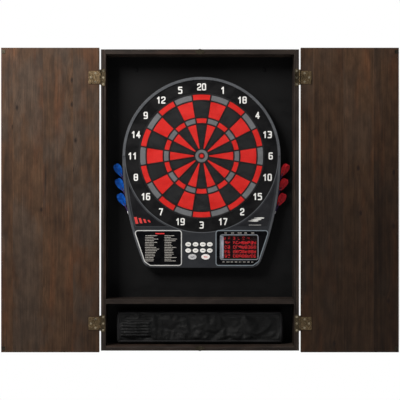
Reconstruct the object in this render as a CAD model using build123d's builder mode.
"""Wall-hung dart board cabinet: a two-door wooden case with an electronic dart board and a storage bay.

The origin is the centre of the four wall screws, in the plane of the wall. +X is to the viewer's right,
+Y goes into the wall and +Z is up. Both doors stand open, flat against the wall's plane. Millimetres.
"""

import os
from math import asin, cos, degrees, radians, sin, sqrt

from build123d import *

os.makedirs("parts", exist_ok=True)

# ---------------------------------------------------------------- driving dimensions
# Wooden case
CASE_W = 618.0  # outside width
CASE_H = 940.0  # outside height
CASE_D = 92.0  # wall to front edge
PLANK_T = 15.0
LOWER_BAY_H = 131.0  # clear height of the storage bay
BACK_T = 6.0
RAIL_T = 12.0
RAIL_H = 80.0
WALL_SCREW_SPACING_X = 406.4
WALL_HOLE_R = 3.0

# Wood screws
CASE_SCREW = dict(head_r=4.5, shank_r=2.2, length=45.0)
CASE_SCREW_EDGE = 22.0  # screw centre to the front or back edge of a plank
HINGE_SCREW = dict(head_r=2.9, shank_r=1.6, length=13.0)

# Doors
DOOR_T = 15.0
DOOR_OVERHANG = 5.0  # door beyond the case, above and below
DOOR_REVEAL = 1.6  # closed door's edge to the case's outer side
DOOR_MEETING_GAP = 3.0
DOOR_EDGE_R = 1.2

# Hinges
LEAF_T = 1.6
PIN_R = 1.25
PIN_RUNNING_GAP = 0.05
KNUCKLE_WALL = 1.2
KNUCKLE_COUNT = 5
KNUCKLE_GAP = 0.3
BARREL_H = 46.0
LEAF_TO_LEAF_GAP = 0.4
HINGE_INSET = 0.5  # barrel over the case's side
DOOR_LEAF_W = 34.0
DOOR_LEAF_H = 40.0
FRAME_LEAF_H = 56.0
FRAME_LEAF_MARGIN = 1.0  # leaf to the plank's inner face
LOBE_SHOW = 1.6  # lobe beyond the leaf's body, in lobe radii
TOP_HINGE_DROP = 88.0  # hinge centre below the top of the case
BOTTOM_HINGE_RISE = 85.0

# Catches and knobs
CATCH_W = 29.0
CATCH_H = 11.5
CATCH_BUMP_R = 8.5
CATCH_T = 1.4
MAGNET_R = 4.0
MAGNET_T = 0.8  # proud of the catch plate
MAGNET_X = 8.5
STRIKE_W = 12.0
STRIKE_H = 11.0
STRIKE_T = 1.0
KNOB_R = 13.0
KNOB_REACH = 24.0
KNOB_WAIST = 0.72  # share of the reach below the crown
KNOB_STUD_R = 2.0
KNOB_STUD_DEPTH = 10.0
KNOB_EDGE = 30.0  # knob centre to the door's free edge

# Dart board housing
FACE_R = 250.0  # upper, round part of the outline
FACE_DROP = 353.0  # bull to bottom edge
SIDE_ARC_R = 900.0
BOTTOM_CORNER_R = 35.0
BULL_X = 5.0
BULL_DROP = 331.0  # bull below the top of the case
HOUSING_T = 34.0
COVER_DEPTH = 22.0
COVER_WALL = 2.5
BEZEL_WALL = 3.0
POST_R = 5.0
CASE_SCREW_R = 1.5
CASE_SCREW_HEAD_R = 2.8
SCREW_TIP_GAP = 1.0  # screw's point to the bezel's face
RIB_R = 150.0
RIB_T = 3.0
FACE_HOLE_GAP = 0.5
RIM_W = 9.0
RIM_T = 2.5

# Target
TARGET_R = 199.0
RING_EDGES = [22.0, 102.0, 121.0, 175.0, 196.0]  # outer bull, then each scoring ring
INNER_BULL_R = 8.0
WEB_T = 1.6
WEB_PROUD = 1.0
WEB_DEPTH = 9.4  # bezel face to the switch sheet
WEB_FLANGE_W = 7.0
BED_FLANGE_T = 1.4
BED_FLANGE_STEP = 0.4
BED_SET_BACK = 0.8  # bed face below the web's edge
BED_TRAVEL = 1.0
MOVING_GAP = 0.3
SHEET_T = 1.6
NUMERAL_R = 218.0
DIGIT_H = 18.6  # between stroke centres
DIGIT_W = 9.5
DIGIT_PITCH = 15.0
DIGIT_STROKE = 3.8
DIGIT_BEND_R = 2.6
NUMERAL_T = 0.5

# Lower panel of the board
PANEL_INSET = 8.0
PANEL_TOP = -237.0
PANEL_BOTTOM = -344.0
LIST_RIGHT = -65.0
FASCIA_LEFT = 47.0
PANEL_CORNER_R = 7.0
PANEL_CUT = 12.0
OVERLAY_T = 0.8
TRIM_W = 3.0
TRIM_T = 1.2
LENS_BOX = dict(left=59.0, right=178.0, bottom=-327.0, top=-249.0)
LENS_CORNER_R = 6.0
LENS_GAP = 0.15
LENS_LIP = 3.0
LENS_LIP_T = 1.2
DISPLAY_MARGIN = 4.0
BUTTON_TRAVEL = 1.5
BUTTON_PROUD = 2.0
BUTTON_FLANGE = 1.2
BUTTON_STEM_R = 2.5
BUTTON_GAP = 0.35
SMALL_BUTTON = (9.0, 6.75)
LARGE_BUTTON = (13.5, 8.5)
SMALL_BUTTON_X = [-42.0, -19.0, 4.0, 26.0]
LARGE_BUTTON_X = [-29.0, 13.0]
BUTTON_ROWS = [-279.0, -298.5, -318.5]

# Electronics
BOARD_T = 1.6
BOARD_STANDOFF = 15.5
BOARD_LEFT = -70.0
BOARD_RIGHT = 176.0
BOARD_TOP = -244.0
BOARD_BOTTOM = -332.0
SPEAKER_R = 18.0
SPEAKER_H = 12.0
SPEAKER_AT = (-125.0, -290.0)
JACK_AT_X = 100.0
JACK_W = 12.0
JACK_T = 9.0
JACK_L = 14.0
JACK_NOSE_R = 4.0
JACK_BORE_R = 2.75
JACK_PIN_R = 1.0
JACK_BORE_DEPTH = 9.0

# Darts, stored tip down in the sides of the housing
DART_TILT = 27.0  # from upright
DART_TO_BACK = 15.0
DART_MOUTHS = [(-241.0, -87.5), (-236.0, -133.6), (-230.5, -181.0)]
SLEEVE_DEPTH = 80.0
SLEEVE_WALL = 1.2
SLEEVE_FLOOR = 1.5
DART_IN_SLEEVE_GAP = 0.4
TIP_R = 1.1
TIP_L = 25.0
BARREL_R = 3.2
BARREL_L = 48.0
SHAFT_R = 2.2
SHAFT_L = 42.0
FLIGHT_L = 47.0
FLIGHT_HALF_W = 12.5
FLIGHT_T = 0.5
FLIGHT_SLOT = 14.0  # shaft's grip on the flight

# Storage pouch, a soft part
POUCH_W = 534.0
POUCH_H = 110.0
POUCH_T = 40.0
POUCH_EDGE_R = 14.0
POUCH_BACK_GAP = 3.0

# ---------------------------------------------------------------- derived places
TOP_Z = CASE_H / 2
SIDE_X = CASE_W / 2
INNER_W = CASE_W - 2 * PLANK_T
BACK_FACE_Y = -(RAIL_T + BACK_T)
RAIL_Z = TOP_Z - PLANK_T - RAIL_H / 2
SHELF_Z = -TOP_Z + PLANK_T + LOWER_BAY_H + PLANK_T / 2
HINGE_HEIGHTS = [TOP_Z - TOP_HINGE_DROP, -TOP_Z + BOTTOM_HINGE_RISE]
WALL_SCREW_X = WALL_SCREW_SPACING_X / 2

# The pin stands off the case's corner so that the barrel clears it, and the open door lies flush.
BARREL_R_OUT = PIN_R + PIN_RUNNING_GAP + KNUCKLE_WALL
PIN_Y = -CASE_D - LEAF_T - LEAF_TO_LEAF_GAP / 2
PIN_X = -(SIDE_X + BARREL_R_OUT - HINGE_INSET)
DOOR_EDGE_X = 2 * PIN_X + SIDE_X - DOOR_REVEAL
DOOR_W = SIDE_X - DOOR_REVEAL - DOOR_MEETING_GAP / 2
DOOR_FREE_X = DOOR_EDGE_X - DOOR_W
DOOR_H = CASE_H + 2 * DOOR_OVERHANG

BULL_Z = TOP_Z - BULL_DROP
FACE_Y = BACK_FACE_Y - HOUSING_T
SPLIT_Y = BACK_FACE_Y - COVER_DEPTH
BEZEL_INNER_Y = FACE_Y + BEZEL_WALL
SHEET_Y = FACE_Y + WEB_DEPTH
BOARD_Y = BACK_FACE_Y - COVER_WALL - BOARD_STANDOFF
DART_Y = BACK_FACE_Y - DART_TO_BACK
SLEEVE_R = BARREL_R + DART_IN_SLEEVE_GAP + SLEEVE_WALL
DIAL_ORDER = [20, 1, 18, 4, 13, 6, 10, 15, 2, 17, 3, 19, 7, 16, 8, 11, 14, 9, 12, 5]
BED_ANGLE = 360 / len(DIAL_ORDER)


# ---------------------------------------------------------------- helpers
def face_plane(y):
    """Plane through the bull at depth y, facing the viewer, with its own X and Y along +X and +Z."""
    return Plane(origin=(BULL_X, y, BULL_Z), x_dir=(1, 0, 0), z_dir=(0, -1, 0))


def front_plane(y):
    """Plane at depth y facing the viewer, centred on the case."""
    return Plane(origin=(0, y, 0), x_dir=(1, 0, 0), z_dir=(0, -1, 0))


def opened(x):
    """Where a point of the closed left door lies when the door is open flat."""
    return 2 * PIN_X - x


def screw_body(head_r, shank_r, length):
    """Countersunk screw pointing down -Z, its flat head flush with the origin."""
    with BuildPart() as body:
        with BuildSketch(Plane.XZ):
            with BuildLine():
                Polyline(
                    (0, 0),
                    (head_r, 0),
                    (shank_r, shank_r - head_r),
                    (shank_r, shank_r - length),
                    (0, -length),
                    (0, 0),
                )
            make_face()
        revolve(axis=Axis.Z)
    return body.part


def slotted(body, head_r):
    """The screw with the cross recess cut in its head."""
    depth = head_r / 3
    with BuildPart() as screw:
        add(body)
        with BuildSketch():
            Rectangle(1.2 * head_r, 0.3 * head_r)
            Rectangle(0.3 * head_r, 1.2 * head_r)
        extrude(amount=-depth, mode=Mode.SUBTRACT)
    return screw.part


def save(part, name):
    """Label one piece, or one group of identical pieces, and write it."""
    part.label = name
    export_step(part, f"parts/{name}.step")


case_screw_body = screw_body(**CASE_SCREW)
hinge_screw_body = screw_body(**HINGE_SCREW)
case_screw = slotted(case_screw_body, CASE_SCREW["head_r"])
hinge_screw = slotted(hinge_screw_body, HINGE_SCREW["head_r"])


# ---------------------------------------------------------------- wooden case
def side_screw_places(side):
    """Screw heads on one side of the case: two per cross plank and two per rail."""
    plank_heights = [TOP_Z - PLANK_T / 2, SHELF_Z, -TOP_Z + PLANK_T / 2]
    depths = [-CASE_D + CASE_SCREW_EDGE, BACK_FACE_Y - CASE_SCREW_EDGE / 2]
    points = [(y, z) for z in plank_heights for y in depths]
    points += [(-RAIL_T / 2, z + dz) for z in (RAIL_Z, -RAIL_Z) for dz in (-RAIL_H / 4, RAIL_H / 4)]
    return [
        Plane(origin=(side * SIDE_X, y, z), z_dir=(side, 0, 0)).location for y, z in points
    ]


LEFT_SIDE_SCREWS = side_screw_places(-1)
RIGHT_SIDE_SCREWS = side_screw_places(1)
ALL_SIDE_SCREWS = LEFT_SIDE_SCREWS + RIGHT_SIDE_SCREWS


def hinge_screw_points(z):
    """Screws of one hinge: three up the frame leaf and three staggered on the door leaf."""
    frame_x = -(SIDE_X - PLANK_T / 2)
    lobe = FRAME_LEAF_H / 2 - PLANK_T / 2
    near, far = DOOR_EDGE_X - DOOR_LEAF_W / 3, DOOR_EDGE_X - DOOR_LEAF_W * 0.75
    frame = [(frame_x, z + dz) for dz in (-lobe, 0, lobe)]
    door = [(near, z - DOOR_LEAF_H / 3), (far, z), (near, z + DOOR_LEAF_H / 3)]
    return frame, door


LEAF_FACE_Y = -CASE_D - LEAF_T
FRAME_LEAF_SCREWS = [
    Plane(origin=(x, LEAF_FACE_Y, z), z_dir=(0, -1, 0)).location
    for height in HINGE_HEIGHTS
    for x, z in hinge_screw_points(height)[0]
]
DOOR_LEAF_SCREWS = [
    Plane(origin=(x, LEAF_FACE_Y, z), z_dir=(0, -1, 0)).location
    for height in HINGE_HEIGHTS
    for x, z in hinge_screw_points(height)[1]
]

with BuildPart() as left_side_panel:
    with Locations((-SIDE_X + PLANK_T / 2, -CASE_D / 2, 0)):
        Box(PLANK_T, CASE_D, CASE_H)
    with Locations(*LEFT_SIDE_SCREWS):
        add(case_screw_body, mode=Mode.SUBTRACT)
    with Locations(*FRAME_LEAF_SCREWS):
        add(hinge_screw_body, mode=Mode.SUBTRACT)
save(left_side_panel.part, "left_side_panel")

with BuildPart() as right_side_panel:
    mirror(left_side_panel.part, about=Plane.YZ)
save(right_side_panel.part, "right_side_panel")

for plank_name, plank_z, plank_back in (
    ("top_panel", TOP_Z - PLANK_T / 2, 0),
    ("bottom_panel", -TOP_Z + PLANK_T / 2, 0),
    ("divider_shelf", SHELF_Z, BACK_FACE_Y),
):
    with BuildPart() as plank:
        with Locations((0, (plank_back - CASE_D) / 2, plank_z)):
            Box(INNER_W, CASE_D + plank_back, PLANK_T)
        with Locations(*ALL_SIDE_SCREWS):
            add(case_screw_body, mode=Mode.SUBTRACT)
    save(plank.part, plank_name)

with BuildPart() as hanging_rails:
    with Locations((0, -RAIL_T / 2, RAIL_Z), (0, -RAIL_T / 2, -RAIL_Z)):
        Box(INNER_W, RAIL_T, RAIL_H)
    with Locations(*ALL_SIDE_SCREWS):
        add(case_screw_body, mode=Mode.SUBTRACT)
    with BuildSketch(front_plane(0)):
        with GridLocations(2 * WALL_SCREW_X, 2 * RAIL_Z, 2, 2):
            Circle(WALL_HOLE_R)
    extrude(amount=RAIL_T, mode=Mode.SUBTRACT)
save(hanging_rails.part, "hanging_rails")

# Screws in the back panel that the dart board hangs on by its keyholes.
HANGER_POINTS = [(-110.0, 60.0), (110.0, 60.0), (0.0, -225.0)]
HANGER_SHANK_R = 2.0
HANGER_HEAD_R = 4.0
HANGER_HEAD_T = 2.4
HANGER_GRIP = 5.0
KEYHOLE_DROP = 12.0
KEYHOLE_GAP = 0.5

with BuildPart() as back_panel:
    with Locations((0, -RAIL_T - BACK_T / 2, 0)):
        Box(INNER_W, BACK_T, CASE_H - 2 * PLANK_T)
    with BuildSketch(front_plane(-RAIL_T)):
        with GridLocations(2 * WALL_SCREW_X, 2 * RAIL_Z, 2, 2):
            Circle(WALL_HOLE_R)
    extrude(amount=BACK_T, mode=Mode.SUBTRACT)
    with BuildSketch(face_plane(BACK_FACE_Y)):
        with Locations(*HANGER_POINTS):
            Circle(HANGER_SHANK_R)
    extrude(amount=-HANGER_GRIP, mode=Mode.SUBTRACT)
save(back_panel.part, "back_panel")

with BuildPart() as carcass_screws:
    with Locations(*ALL_SIDE_SCREWS):
        add(case_screw)
save(carcass_screws.part, "carcass_screws")


# ---------------------------------------------------------------- hinges
def knuckle_spans(first):
    """Heights of every other knuckle, counted from the first, about the hinge's centre."""
    pitch = BARREL_H / KNUCKLE_COUNT
    starts = [-BARREL_H / 2 + k * pitch for k in range(first, KNUCKLE_COUNT, 2)]
    return [(z + KNUCKLE_GAP / 2, z + pitch - KNUCKLE_GAP / 2) for z in starts]


def leaf_knuckles(first, towards):
    """Knuckles of one leaf at both hinges, with tongues that run from the pin towards the leaf at x."""
    left, right = sorted((PIN_X, towards))
    with BuildPart() as knuckles:
        for height in HINGE_HEIGHTS:
            for low, high in knuckle_spans(first):
                with BuildSketch(Plane.XY.offset(height + low)):
                    with Locations((PIN_X, PIN_Y)):
                        Circle(BARREL_R_OUT)
                    with Locations((left, -CASE_D - LEAF_T)):
                        Rectangle(right - left, LEAF_T, align=(Align.MIN, Align.MIN))
                    with Locations((PIN_X, PIN_Y)):
                        Circle(PIN_R + PIN_RUNNING_GAP, mode=Mode.SUBTRACT)
                extrude(amount=high - low)
    return knuckles.part


LEAF_CLEAR = BARREL_R_OUT + MOVING_GAP
FRAME_LEAF_X = PIN_X + LEAF_CLEAR
FRAME_LEAF_END = -SIDE_X + PLANK_T - FRAME_LEAF_MARGIN
DOOR_LEAF_X = PIN_X - LEAF_CLEAR
LOBE_R = (FRAME_LEAF_END - FRAME_LEAF_X) / 2

with BuildPart() as left_frame_leaves:
    for height in HINGE_HEIGHTS:
        with BuildSketch(front_plane(-CASE_D)):
            with Locations(((FRAME_LEAF_X + FRAME_LEAF_END) / 2, height)):
                Rectangle(2 * LOBE_R, FRAME_LEAF_H - 2 * LOBE_SHOW * LOBE_R)
                with GridLocations(0, FRAME_LEAF_H - 2 * LOBE_R, 1, 2):
                    Circle(LOBE_R)
        extrude(amount=LEAF_T)
    add(leaf_knuckles(0, FRAME_LEAF_X + LEAF_T))
    with Locations(*FRAME_LEAF_SCREWS):
        add(hinge_screw_body, mode=Mode.SUBTRACT)

with BuildPart() as frame_hinge_leaves:
    add(left_frame_leaves.part)
    mirror(left_frame_leaves.part, about=Plane.YZ)
save(frame_hinge_leaves.part, "frame_hinge_leaves")

with BuildPart() as frame_leaf_screws:
    with Locations(*FRAME_LEAF_SCREWS):
        add(hinge_screw)
    mirror(about=Plane.YZ)
save(frame_leaf_screws.part, "frame_leaf_screws")

with BuildPart() as hinge_pins:
    for height in HINGE_HEIGHTS:
        with BuildSketch(Plane.XY.offset(height - BARREL_H / 2)):
            with Locations((PIN_X, PIN_Y)):
                Circle(PIN_R)
        extrude(amount=BARREL_H)
        with BuildSketch(Plane.XY.offset(height + BARREL_H / 2)):
            with Locations((PIN_X, PIN_Y)):
                Circle(BARREL_R_OUT)
        extrude(amount=LEAF_T)
    mirror(about=Plane.YZ)
save(hinge_pins.part, "hinge_pins")

with BuildPart() as left_door_leaves:
    for height in HINGE_HEIGHTS:
        with BuildSketch(front_plane(-CASE_D)):
            with Locations((DOOR_LEAF_X - DOOR_LEAF_W / 2, height)):
                RectangleRounded(DOOR_LEAF_W, DOOR_LEAF_H, 2 * LEAF_T)
        extrude(amount=LEAF_T)
    add(leaf_knuckles(1, DOOR_LEAF_X - LEAF_T))
    with Locations(*DOOR_LEAF_SCREWS):
        add(hinge_screw_body, mode=Mode.SUBTRACT)

with BuildPart() as left_leaf_screws:
    with Locations(*DOOR_LEAF_SCREWS):
        add(hinge_screw)

# ---------------------------------------------------------------- doors
KNOB_PLANE = Plane(
    origin=(DOOR_FREE_X + KNOB_EDGE, -CASE_D + DOOR_T, 0), x_dir=(1, 0, 0), z_dir=(0, 1, 0)
)

with BuildPart() as left_door_panel:
    with Locations(((DOOR_EDGE_X + DOOR_FREE_X) / 2, -CASE_D + DOOR_T / 2, 0)):
        Box(DOOR_W, DOOR_T, DOOR_H)
    fillet(left_door_panel.edges().filter_by(Axis.Z), DOOR_EDGE_R)
    with Locations(*DOOR_LEAF_SCREWS):
        add(hinge_screw_body, mode=Mode.SUBTRACT)
    with BuildSketch(KNOB_PLANE):
        Circle(KNOB_STUD_R)
    extrude(amount=-KNOB_STUD_DEPTH, mode=Mode.SUBTRACT)

with BuildPart() as left_knob:
    with BuildSketch(Plane(origin=KNOB_PLANE.origin, x_dir=(1, 0, 0), z_dir=(0, 0, 1))):
        with BuildLine():
            stud = Polyline(
                (0, -KNOB_STUD_DEPTH), (KNOB_STUD_R, -KNOB_STUD_DEPTH), (KNOB_STUD_R, 0), (0.6 * KNOB_R, 0)
            )
            neck = Bezier(
                stud @ 1,
                (0.35 * KNOB_R, 0.3 * KNOB_REACH),
                (KNOB_R, 0.4 * KNOB_REACH),
                (KNOB_R, KNOB_WAIST * KNOB_REACH),
            )
            crown = Bezier(
                neck @ 1,
                (KNOB_R, 0.92 * KNOB_REACH),
                (0.8 * KNOB_R, KNOB_REACH),
                (0.5 * KNOB_R, KNOB_REACH),
            )
            flat_top = Line(crown @ 1, (0, KNOB_REACH))
            Line(flat_top @ 1, stud @ 0)
        make_face()
    revolve(axis=Axis(KNOB_PLANE.origin, (0, 1, 0)))

STRIKE_Z = TOP_Z - PLANK_T / 2
with BuildPart() as left_strikes:
    with BuildSketch(front_plane(-CASE_D)):
        with Locations((opened(-MAGNET_X), STRIKE_Z), (opened(-MAGNET_X), -STRIKE_Z)):
            RectangleRounded(STRIKE_W, STRIKE_H, STRIKE_T)
    extrude(amount=STRIKE_T)

for left_piece, piece_name in (
    (left_door_panel, "door_panel"),
    (left_door_leaves, "door_leaves"),
    (left_leaf_screws, "leaf_screws"),
    (left_knob, "door_knob"),
    (left_strikes, "door_strikes"),
):
    save(left_piece.part, f"left_{piece_name}")
    with BuildPart() as right_piece:
        mirror(left_piece.part, about=Plane.YZ)
    save(right_piece.part, f"right_{piece_name}")

with BuildPart() as catch_plates:
    with BuildSketch(front_plane(-CASE_D)):
        with Locations((0, STRIKE_Z), (0, -STRIKE_Z)):
            SlotOverall(CATCH_W, CATCH_H)
            Circle(CATCH_BUMP_R)
    extrude(amount=CATCH_T)

with BuildPart() as catch_magnets:
    with BuildSketch(front_plane(-CASE_D - CATCH_T)):
        for magnet_z in (STRIKE_Z, -STRIKE_Z):
            with Locations((-MAGNET_X, magnet_z), (MAGNET_X, magnet_z)):
                Circle(MAGNET_R)
    extrude(amount=MAGNET_T)

magnetic_catches = Compound(children=[*catch_plates.part.solids(), *catch_magnets.part.solids()])
save(magnetic_catches, "magnetic_catches")

# ---------------------------------------------------------------- dart board housing
side_fall = degrees(asin(FACE_DROP / SIDE_ARC_R))
with BuildSketch() as housing_outline:
    with BuildLine():
        CenterArc((0, 0), FACE_R, 0, 180)
        right_edge = CenterArc((FACE_R - SIDE_ARC_R, 0), SIDE_ARC_R, 0, -side_fall)
        left_edge = CenterArc((SIDE_ARC_R - FACE_R, 0), SIDE_ARC_R, 180, side_fall)
        Line(right_edge @ 1, left_edge @ 1)
    make_face()
    fillet(housing_outline.vertices().group_by(Axis.Y)[0], BOTTOM_CORNER_R)


def inset_outline(inset):
    """The housing's outline drawn in by the same width all round."""
    with BuildSketch() as inner:
        add(housing_outline.sketch)
        offset(amount=-inset, mode=Mode.REPLACE)
    return inner.sketch


def panel_shape(inner_x):
    """Lower panel field from its inner edge out to the housing's slanting side, with a cut lower corner."""
    side = 1 if inner_x > 0 else -1

    def edge_x(z):
        return side * (FACE_R - SIDE_ARC_R + sqrt(SIDE_ARC_R**2 - z**2) - PANEL_INSET)

    with BuildSketch() as panel:
        with BuildLine():
            Polyline(
                (inner_x, PANEL_TOP),
                (edge_x(PANEL_TOP), PANEL_TOP),
                (edge_x(PANEL_BOTTOM + PANEL_CUT), PANEL_BOTTOM + PANEL_CUT),
                (edge_x(PANEL_BOTTOM) - side * PANEL_CUT, PANEL_BOTTOM),
                (inner_x, PANEL_BOTTOM),
                close=True,
            )
        make_face()
        fillet(panel.vertices(), PANEL_CORNER_R)
    return panel.sketch


POST_POINTS = [(0, 232), (-149, 178), (149, 178), (-225, -40), (225, -40), (-120, -341), (120, -341)]
STANDOFF_POINTS = [(-60, -254), (-60, -322), (160, -254), (160, -322)]
STANDOFF_R = 4.0


def dart_planes():
    """One plane per dart at its sleeve's mouth, +Z along the dart towards its flight."""
    planes = []
    for side in (1, -1):
        for x, z in DART_MOUTHS:
            lean = -side * sin(radians(DART_TILT))
            planes.append(
                Plane(
                    origin=(BULL_X + side * x, DART_Y, BULL_Z + z),
                    x_dir=(0, 1, 0),
                    z_dir=(lean, 0, cos(radians(DART_TILT))),
                )
            )
    return planes


DART_PLANES = dart_planes()
DART_NAMES = [f"{side}_dart_{row}" for side in ("left", "right") for row in (1, 2, 3)]
MOUTH_RUN = 4 * SLEEVE_R

with BuildPart() as sleeve_envelope:
    for dart_plane in DART_PLANES:
        with BuildSketch(dart_plane.offset(-SLEEVE_DEPTH)):
            Circle(SLEEVE_R)
        extrude(amount=SLEEVE_DEPTH + MOUTH_RUN)

with BuildPart() as dart_sleeves:
    add(sleeve_envelope.part)
    with BuildSketch(face_plane(BACK_FACE_Y)):
        add(housing_outline.sketch)
    extrude(amount=COVER_DEPTH, mode=Mode.INTERSECT)
    for dart_plane in DART_PLANES:
        with BuildSketch(dart_plane.offset(SLEEVE_FLOOR - SLEEVE_DEPTH)):
            Circle(SLEEVE_R - SLEEVE_WALL)
        extrude(amount=SLEEVE_DEPTH + MOUTH_RUN, mode=Mode.SUBTRACT)
save(dart_sleeves.part, "dart_sleeves")

case_screw_small = screw_body(CASE_SCREW_HEAD_R, CASE_SCREW_R, HOUSING_T - BEZEL_WALL - SCREW_TIP_GAP)
POST_SCREW_PLACES = [
    Plane(origin=(BULL_X + x, BACK_FACE_Y, BULL_Z + z), z_dir=(0, 1, 0)).location for x, z in POST_POINTS
]
JACK_Y = (BACK_FACE_Y - COVER_WALL + SPLIT_Y) / 2
JACK_FACE_Z = BULL_Z - FACE_DROP + COVER_WALL

with BuildPart() as rear_cover:
    with BuildSketch(face_plane(BACK_FACE_Y)):
        add(housing_outline.sketch)
    extrude(amount=COVER_DEPTH)
    with BuildSketch(face_plane(BACK_FACE_Y - COVER_WALL)):
        add(inset_outline(COVER_WALL))
    extrude(amount=COVER_DEPTH, mode=Mode.SUBTRACT)
    with BuildSketch(face_plane(BACK_FACE_Y - COVER_WALL)):
        with Locations(*POST_POINTS):
            Circle(POST_R)
    extrude(amount=COVER_DEPTH - COVER_WALL)
    with BuildSketch(face_plane(BACK_FACE_Y - COVER_WALL)):
        with Locations(*STANDOFF_POINTS):
            Circle(STANDOFF_R)
    extrude(amount=BOARD_STANDOFF)
    with BuildSketch(face_plane(BACK_FACE_Y - COVER_WALL)):
        Circle(RIB_R + RIB_T)
        Circle(RIB_R, mode=Mode.SUBTRACT)
    extrude(amount=BACK_FACE_Y - COVER_WALL - SHEET_Y - SHEET_T)
    with Locations(*POST_SCREW_PLACES):
        add(case_screw_small, mode=Mode.SUBTRACT)
    with BuildSketch(face_plane(BACK_FACE_Y)):
        for hanger_x, hanger_z in HANGER_POINTS:
            with Locations((hanger_x, hanger_z - KEYHOLE_DROP / 2)):
                SlotCenterToCenter(KEYHOLE_DROP, 2 * HANGER_SHANK_R, rotation=90)
            with Locations((hanger_x, hanger_z - KEYHOLE_DROP)):
                Circle(HANGER_HEAD_R + KEYHOLE_GAP)
        with Locations(SPEAKER_AT):
            with PolarLocations(SPEAKER_R / 2, 8):
                Circle(SPEAKER_R / 12)
    extrude(amount=COVER_WALL, mode=Mode.SUBTRACT)
    with BuildSketch(Plane(origin=(BULL_X + JACK_AT_X, JACK_Y, JACK_FACE_Z), z_dir=(0, 0, -1))):
        Circle(JACK_NOSE_R)
    extrude(amount=COVER_WALL, mode=Mode.SUBTRACT)
    add(sleeve_envelope.part, mode=Mode.SUBTRACT)
save(rear_cover.part, "rear_cover")

with BuildPart() as hanging_screws:
    with BuildSketch(face_plane(BACK_FACE_Y + HANGER_GRIP)):
        with Locations(*HANGER_POINTS):
            Circle(HANGER_SHANK_R)
    extrude(amount=HANGER_GRIP + COVER_WALL)
    with BuildSketch(face_plane(BACK_FACE_Y - COVER_WALL)):
        with Locations(*HANGER_POINTS):
            Circle(HANGER_HEAD_R)
    extrude(amount=HANGER_HEAD_T)
save(hanging_screws.part, "hanging_screws")

with BuildPart() as housing_screws:
    with Locations(*POST_SCREW_PLACES):
        add(slotted(case_screw_small, CASE_SCREW_HEAD_R))
save(housing_screws.part, "housing_screws")

BUTTONS = [
    *[(f"select_button_{n + 1}", (x, BUTTON_ROWS[0]), SMALL_BUTTON) for n, x in enumerate(SMALL_BUTTON_X)],
    *[(f"option_button_{n + 1}", (x, BUTTON_ROWS[1]), SMALL_BUTTON) for n, x in enumerate(SMALL_BUTTON_X)],
    ("power_button", (LARGE_BUTTON_X[0], BUTTON_ROWS[2]), LARGE_BUTTON),
    ("start_button", (LARGE_BUTTON_X[1], BUTTON_ROWS[2]), LARGE_BUTTON),
]
lens_mid = ((LENS_BOX["left"] + LENS_BOX["right"]) / 2, (LENS_BOX["bottom"] + LENS_BOX["top"]) / 2)
lens_w = LENS_BOX["right"] - LENS_BOX["left"]
lens_h = LENS_BOX["top"] - LENS_BOX["bottom"]

with BuildPart() as front_bezel:
    with BuildSketch(face_plane(SPLIT_Y)):
        add(housing_outline.sketch)
    extrude(amount=HOUSING_T - COVER_DEPTH)
    fillet(front_bezel.faces().sort_by(Axis.Y)[0].edges(), BEZEL_WALL / 2)
    with BuildSketch(face_plane(SPLIT_Y)):
        add(inset_outline(BEZEL_WALL))
    extrude(amount=HOUSING_T - COVER_DEPTH - BEZEL_WALL, mode=Mode.SUBTRACT)
    with BuildSketch(face_plane(SPLIT_Y)):
        with Locations(*POST_POINTS):
            Circle(POST_R)
    extrude(amount=HOUSING_T - COVER_DEPTH - BEZEL_WALL)
    with Locations(*POST_SCREW_PLACES):
        add(case_screw_small, mode=Mode.SUBTRACT)
    with BuildSketch(face_plane(BEZEL_INNER_Y)):
        Circle(TARGET_R + FACE_HOLE_GAP)
        with Locations(lens_mid):
            RectangleRounded(lens_w, lens_h, LENS_CORNER_R)
        for _, button_at, (half_w, half_h) in BUTTONS:
            with Locations(button_at):
                Ellipse(half_w + BUTTON_GAP, half_h + BUTTON_GAP)
    extrude(amount=BEZEL_WALL, mode=Mode.SUBTRACT)
save(front_bezel.part, "front_bezel")


# ---------------------------------------------------------------- target
def bed_shape(inner_r, outer_r, inset):
    """One scoring bed about the local +Y axis, drawn in by the inset on all four sides."""
    with BuildSketch() as bed:
        with BuildLine():
            outer = CenterArc((0, 0), outer_r, 90 - BED_ANGLE / 2, BED_ANGLE)
            inner = CenterArc((0, 0), inner_r, 90 - BED_ANGLE / 2, BED_ANGLE)
            Line(outer @ 0, inner @ 0)
            Line(outer @ 1, inner @ 1)
        make_face()
        offset(amount=-inset, kind=Kind.INTERSECTION, mode=Mode.REPLACE)
    return bed.sketch


RINGS = list(zip(RING_EDGES[:-1], RING_EDGES[1:]))
POCKET_INSET = WEB_T / 2
REAR_POCKET_INSET = POCKET_INSET - BED_FLANGE_STEP
WEB_FRONT_Y = FACE_Y - WEB_PROUD
BED_REAR_Y = SHEET_Y - MOVING_GAP - BED_TRAVEL
STEP_Y = BED_REAR_Y - BED_FLANGE_T - MOVING_GAP
BED_FRONT_Y = WEB_FRONT_Y + BED_SET_BACK

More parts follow.
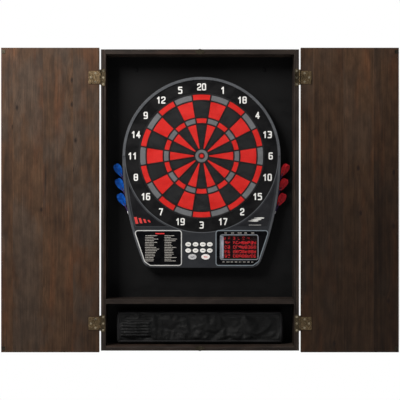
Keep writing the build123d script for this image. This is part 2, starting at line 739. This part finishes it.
with BuildPart() as spider:
    with BuildSketch(face_plane(STEP_Y)) as front_web:
        Circle(TARGET_R)
        Circle(RING_EDGES[0] + POCKET_INSET - WEB_T, mode=Mode.SUBTRACT)
        for ring in RINGS:
            with PolarLocations(0, len(DIAL_ORDER)):
                add(bed_shape(*ring, POCKET_INSET), mode=Mode.SUBTRACT)
    extrude(amount=STEP_Y - WEB_FRONT_Y)
    with BuildSketch(face_plane(STEP_Y)) as rear_web:
        Circle(TARGET_R)
        Circle(RING_EDGES[0] + REAR_POCKET_INSET - WEB_T / 2, mode=Mode.SUBTRACT)
        for ring in RINGS:
            with PolarLocations(0, len(DIAL_ORDER)):
                add(bed_shape(*ring, REAR_POCKET_INSET), mode=Mode.SUBTRACT)
    extrude(amount=-(BED_REAR_Y - STEP_Y))
    with BuildSketch(face_plane(SHEET_Y)):
        Circle(TARGET_R + WEB_FLANGE_W)
        Circle(TARGET_R - WEB_T, mode=Mode.SUBTRACT)
    extrude(amount=SHEET_Y - BEZEL_INNER_Y)
save(spider.part, "spider")

with BuildPart() as switch_sheet:
    with BuildSketch(face_plane(SHEET_Y)):
        Circle(TARGET_R + WEB_FLANGE_W)
    extrude(amount=-SHEET_T)
save(switch_sheet.part, "switch_sheet")


def scoring_beds(rings, first):
    """Beds of the given rings on every other number, counted clockwise from the first."""
    turn = -BED_ANGLE * first
    half = len(DIAL_ORDER) // 2
    with BuildPart() as beds:
        with BuildSketch(face_plane(BED_REAR_Y)):
            for ring in rings:
                with PolarLocations(0, half, start_angle=turn):
                    add(bed_shape(*ring, REAR_POCKET_INSET + MOVING_GAP))
        extrude(amount=BED_FLANGE_T)
        with BuildSketch(face_plane(BED_REAR_Y - BED_FLANGE_T)):
            for ring in rings:
                with PolarLocations(0, half, start_angle=turn):
                    add(bed_shape(*ring, POCKET_INSET + MOVING_GAP))
        extrude(amount=BED_REAR_Y - BED_FLANGE_T - BED_FRONT_Y)
    return beds.part


INNER_SINGLE, TREBLE, OUTER_SINGLE, DOUBLE = RINGS
save(scoring_beds([INNER_SINGLE, OUTER_SINGLE], 0), "black_single_beds")
save(scoring_beds([INNER_SINGLE, OUTER_SINGLE], 1), "red_single_beds")
save(scoring_beds([TREBLE, DOUBLE], 0), "red_ring_beds")
save(scoring_beds([TREBLE, DOUBLE], 1), "grey_ring_beds")

with BuildPart() as outer_bull:
    with BuildSketch(face_plane(BED_REAR_Y)):
        Circle(RING_EDGES[0] - WEB_T / 2 - MOVING_GAP)
        Circle(INNER_BULL_R + MOVING_GAP, mode=Mode.SUBTRACT)
    extrude(amount=BED_REAR_Y - BED_FRONT_Y)
save(outer_bull.part, "outer_bull")

with BuildPart() as inner_bull:
    with BuildSketch(face_plane(BED_REAR_Y)):
        Circle(INNER_BULL_R)
    extrude(amount=BED_REAR_Y - BED_FRONT_Y)
save(inner_bull.part, "inner_bull")

# Each digit's strokes on a cell one wide and two high.
DIGIT_STROKES = {
    "0": [[(0, 0), (0, 2), (1, 2), (1, 0), (0, 0)]],
    "1": [[(0.15, 1.5), (0.6, 2)], [(0.6, 2), (0.6, 0)]],
    "2": [[(0, 1.6), (0, 2), (1, 2), (1, 1.15), (0, 0.5), (0, 0)], [(0, 0), (1, 0)]],
    "3": [[(0, 2), (1, 2), (1, 0), (0, 0)], [(0.35, 1.05), (1, 1.05)]],
    "4": [[(0.75, 0), (0.75, 2)], [(0.75, 2), (0, 0.6)], [(0, 0.6), (1.1, 0.6)]],
    "5": [[(0, 2), (1, 2)], [(0, 2), (0, 1.2)], [(0, 1.2), (1, 1.2), (1, 0), (0, 0)]],
    "6": [[(1, 2), (0, 2), (0, 0), (1, 0), (1, 1.15), (0.5, 1.15)], [(0.5, 1.15), (0, 1.15)]],
    "7": [[(0, 2), (1, 2)], [(1, 2), (0.35, 0)]],
    "8": [[(0, 0), (0, 2), (1, 2), (1, 0), (0, 0)], [(0, 1.05), (1, 1.05)]],
    "9": [[(0, 0), (1, 0), (1, 2), (0, 2), (0, 0.85), (0.5, 0.85)], [(0.5, 0.85), (1, 0.85)]],
}


def digit_face(digit):
    """One digit in stroke outline, its cell centred on the origin."""
    with BuildSketch() as face:
        for stroke in DIGIT_STROKES[digit]:
            points = [((u - 0.5) * DIGIT_W, (v - 1) * DIGIT_H / 2) for u, v in stroke]
            with BuildLine() as path:
                if points[0] == points[-1]:
                    FilletPolyline(*points[:-1], radius=DIGIT_BEND_R, close=True)
                elif len(points) > 2:
                    FilletPolyline(*points, radius=DIGIT_BEND_R)
                else:
                    Line(*points)
            trace(path.line, line_width=DIGIT_STROKE)
            if points[0] != points[-1]:
                with Locations(points[0], points[-1]):
                    Circle(DIGIT_STROKE / 2)
    return face.sketch


digit_faces = {digit: digit_face(digit) for digit in DIGIT_STROKES}
with BuildPart() as numerals:
    with BuildSketch(face_plane(FACE_Y)):
        for place, number in enumerate(DIAL_ORDER):
            bearing = radians(90 - BED_ANGLE * place)
            digits = str(number)
            for column, digit in enumerate(digits):
                shift = (column - (len(digits) - 1) / 2) * DIGIT_PITCH
                with Locations((NUMERAL_R * cos(bearing) + shift, NUMERAL_R * sin(bearing))):
                    add(digit_faces[digit])
    extrude(amount=NUMERAL_T)
save(numerals.part, "numerals")

# ---------------------------------------------------------------- lower panel
PANELS = [panel_shape(LIST_RIGHT), panel_shape(FASCIA_LEFT)]

with BuildPart() as panel_overlays:
    with BuildSketch(face_plane(FACE_Y)):
        add(PANELS)
        with Locations(lens_mid):
            RectangleRounded(lens_w, lens_h, LENS_CORNER_R, mode=Mode.SUBTRACT)
    extrude(amount=OVERLAY_T)
save(panel_overlays.part, "panel_overlays")

with BuildPart() as panel_trims:
    with BuildSketch(face_plane(FACE_Y)):
        add(PANELS)
        offset(amount=TRIM_W, mode=Mode.REPLACE)
        add(PANELS, mode=Mode.SUBTRACT)
    extrude(amount=TRIM_T)
    with BuildSketch(face_plane(FACE_Y)):
        with BuildLine():
            rim_outer = CenterArc((0, 0), FACE_R - BEZEL_WALL / 2, 0, 180)
            rim_inner = CenterArc((0, 0), FACE_R - RIM_W, 0, 180)
            Line(rim_outer @ 0, rim_inner @ 0)
            Line(rim_outer @ 1, rim_inner @ 1)
        make_face()
    extrude(amount=RIM_T)
save(panel_trims.part, "panel_trims")

with BuildPart() as display_lens:
    with BuildSketch(face_plane(BEZEL_INNER_Y + LENS_LIP_T)):
        with Locations(lens_mid):
            RectangleRounded(lens_w + 2 * LENS_LIP, lens_h + 2 * LENS_LIP, LENS_CORNER_R)
    extrude(amount=LENS_LIP_T)
    with BuildSketch(face_plane(BEZEL_INNER_Y)):
        with Locations(lens_mid):
            RectangleRounded(lens_w - 2 * LENS_GAP, lens_h - 2 * LENS_GAP, LENS_CORNER_R)
    extrude(amount=BEZEL_WALL)
save(display_lens.part, "display_lens")

for button_name, button_at, (half_w, half_h) in BUTTONS:
    flange_y = BEZEL_INNER_Y + MOVING_GAP
    stem_rear_y = BOARD_Y - BOARD_T - MOVING_GAP - BUTTON_TRAVEL
    with BuildPart() as button:
        with BuildSketch(face_plane(stem_rear_y)):
            with Locations(button_at):
                Circle(BUTTON_STEM_R)
        extrude(amount=stem_rear_y - flange_y)
        with BuildSketch(face_plane(flange_y + BUTTON_FLANGE)):
            with Locations(button_at):
                Ellipse(half_w + BUTTON_FLANGE, half_h + BUTTON_FLANGE)
        extrude(amount=BUTTON_FLANGE)
        with BuildSketch(face_plane(flange_y)):
            with Locations(button_at):
                Ellipse(half_w, half_h)
        extrude(amount=flange_y - FACE_Y + BUTTON_PROUD)
        fillet(button.faces().sort_by(Axis.Y)[0].edges(), BUTTON_PROUD / 2)
    save(button.part, button_name)

# ---------------------------------------------------------------- electronics
with BuildPart() as control_board:
    with BuildSketch(face_plane(BOARD_Y)):
        with Locations(((BOARD_LEFT + BOARD_RIGHT) / 2, (BOARD_BOTTOM + BOARD_TOP) / 2)):
            Rectangle(BOARD_RIGHT - BOARD_LEFT, BOARD_TOP - BOARD_BOTTOM)
    extrude(amount=BOARD_T)
save(control_board.part, "control_board")

with BuildPart() as display_module:
    with BuildSketch(face_plane(BOARD_Y - BOARD_T)):
        with Locations(lens_mid):
            Rectangle(lens_w - 2 * DISPLAY_MARGIN, lens_h - 2 * DISPLAY_MARGIN)
    extrude(amount=BOARD_Y - BOARD_T - BEZEL_INNER_Y - LENS_LIP_T - MOVING_GAP)
save(display_module.part, "display_module")

with BuildPart() as speaker:
    with BuildSketch(face_plane(BACK_FACE_Y - COVER_WALL)):
        with Locations(SPEAKER_AT):
            Circle(SPEAKER_R)
    extrude(amount=SPEAKER_H / 3)
    with BuildSketch(face_plane(BACK_FACE_Y - COVER_WALL - SPEAKER_H / 3)):
        with Locations(SPEAKER_AT):
            Circle(SPEAKER_R / 2)
    extrude(amount=SPEAKER_H * 2 / 3)
    with BuildSketch(face_plane(BACK_FACE_Y - COVER_WALL)):
        with Locations(SPEAKER_AT):
            Circle(0.8 * SPEAKER_R)
    extrude(amount=SPEAKER_H / 6, mode=Mode.SUBTRACT)
save(speaker.part, "speaker")

JACK_PLANE = Plane(origin=(BULL_X + JACK_AT_X, JACK_Y, JACK_FACE_Z), x_dir=(1, 0, 0), z_dir=(0, 0, -1))
with BuildPart() as power_jack:
    with BuildSketch(JACK_PLANE.offset(-JACK_L)):
        Rectangle(JACK_W, JACK_T)
    extrude(amount=JACK_L)
    with BuildSketch(JACK_PLANE):
        Circle(JACK_NOSE_R)
    extrude(amount=COVER_WALL)
    with BuildSketch(JACK_PLANE.offset(COVER_WALL)):
        Circle(JACK_BORE_R)
        Circle(JACK_PIN_R, mode=Mode.SUBTRACT)
    extrude(amount=-JACK_BORE_DEPTH, mode=Mode.SUBTRACT)
save(power_jack.part, "power_jack")

# ---------------------------------------------------------------- darts
TIP_END = -(SLEEVE_DEPTH - SLEEVE_FLOOR - MOVING_GAP)
BARREL_START = TIP_END + TIP_L
SHAFT_START = BARREL_START + BARREL_L
FLIGHT_START = SHAFT_START + SHAFT_L - FLIGHT_SLOT

with BuildPart() as dart_tip:
    with BuildSketch(Plane.XZ):
        with BuildLine():
            Polyline(
                (0, TIP_END), (TIP_R / 3, TIP_END), (TIP_R, TIP_END + TIP_L / 2), (TIP_R, BARREL_START),
                (0, BARREL_START), (0, TIP_END)
            )
        make_face()
    revolve(axis=Axis.Z)

with BuildPart() as dart_barrel:
    with BuildSketch(Plane.XY.offset(BARREL_START)):
        Circle(BARREL_R)
    extrude(amount=BARREL_L)
    chamfer(dart_barrel.edges().filter_by(GeomType.CIRCLE), BARREL_R / 4)

with BuildPart() as dart_flight:
    for blade_plane in (Plane.XZ, Plane.YZ):
        with BuildSketch(blade_plane):
            with BuildLine():
                blade_edge = Spline(
                    (0, FLIGHT_START),
                    (0.55 * FLIGHT_HALF_W, FLIGHT_START + 0.3 * FLIGHT_L),
                    (FLIGHT_HALF_W, FLIGHT_START + 0.72 * FLIGHT_L),
                    (0.6 * FLIGHT_HALF_W, FLIGHT_START + FLIGHT_L),
                )
                Line(blade_edge @ 1, (0, FLIGHT_START + FLIGHT_L))
                Line((0, FLIGHT_START + FLIGHT_L), (0, FLIGHT_START))
            make_face()
            mirror(about=Plane.YZ)
        extrude(amount=FLIGHT_T / 2, both=True)

with BuildPart() as dart_shaft:
    with BuildSketch(Plane.XY.offset(SHAFT_START)):
        Circle(SHAFT_R)
    extrude(amount=SHAFT_L)
    add(dart_flight.part, mode=Mode.SUBTRACT)

dart_pieces = [dart_tip.part, dart_barrel.part, dart_shaft.part, dart_flight.part]
for dart_name, dart_plane in zip(DART_NAMES, DART_PLANES):
    placed = [dart_plane.location * solid for piece in dart_pieces for solid in piece.solids()]
    save(Compound(children=placed), dart_name)

# ---------------------------------------------------------------- storage pouch
with BuildPart() as storage_pouch:
    with Locations((0, BACK_FACE_Y - POUCH_BACK_GAP - POUCH_T / 2, -TOP_Z + PLANK_T + POUCH_H / 2)):
        Box(POUCH_W, POUCH_T, POUCH_H)
    fillet(storage_pouch.edges().filter_by(Axis.Y), POUCH_EDGE_R)
    fillet(storage_pouch.faces().sort_by(Axis.Y)[0].edges(), POUCH_EDGE_R)
save(storage_pouch.part, "storage_pouch")
